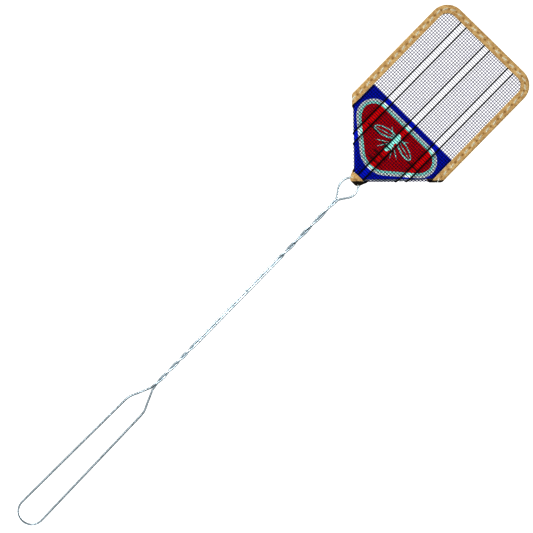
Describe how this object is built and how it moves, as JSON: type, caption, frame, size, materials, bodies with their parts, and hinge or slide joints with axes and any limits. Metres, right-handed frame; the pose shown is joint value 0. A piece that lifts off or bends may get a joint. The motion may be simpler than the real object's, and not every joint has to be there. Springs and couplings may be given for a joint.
{
  "type": "fly swatter",
  "caption": "Wire fly swatter: tape-bound woven screen with its near corners folded and stapled over the prongs of a twisted wire handle, with a looped grip.",
  "frame": {"origin": "middle of the grip loop, in the plane of the handle wire", "axes": "+Z along the handle from the grip to the far edge of the head, +X across the head to the right as seen from the front, -Y out of the front, where the label is read"},
  "size_m": [0.106, 0.0076, 0.566],
  "materials": {
    "galvanised_wire": "dull galvanised, lightly worn",
    "screen_wire": "dark varnished wire",
    "stiffening_wire": "dark varnished wire",
    "cloth_tape": "tan woven tape",
    "thread": "pale cotton thread",
    "printed_label": "glazed printed card",
    "staple_wire": "dulled steel"
  },
  "bodies": {
    "root": {"handle_wire": "galvanised_wire", "screen_cross_wires": "screen_wire", "screen_length_wires": "screen_wire", "stiffening_wire_1": "stiffening_wire", "stiffening_wire_2": "stiffening_wire", "stiffening_wire_3": "stiffening_wire", "stiffening_wire_4": "stiffening_wire", "stiffening_wire_5": "stiffening_wire", "stiffening_wire_6": "stiffening_wire", "left_flap_cross_wires": "screen_wire", "left_flap_length_wires": "screen_wire", "left_flap_stiffening_wires": "stiffening_wire", "right_flap_cross_wires": "screen_wire", "right_flap_length_wires": "screen_wire", "right_flap_stiffening_wires": "stiffening_wire", "edge_tape": "cloth_tape", "needle_thread": "thread", "bobbin_thread": "thread", "label": "printed_label", "flap_staples": "staple_wire", "seam_staples": "staple_wire"}
  },
  "joints": []
}
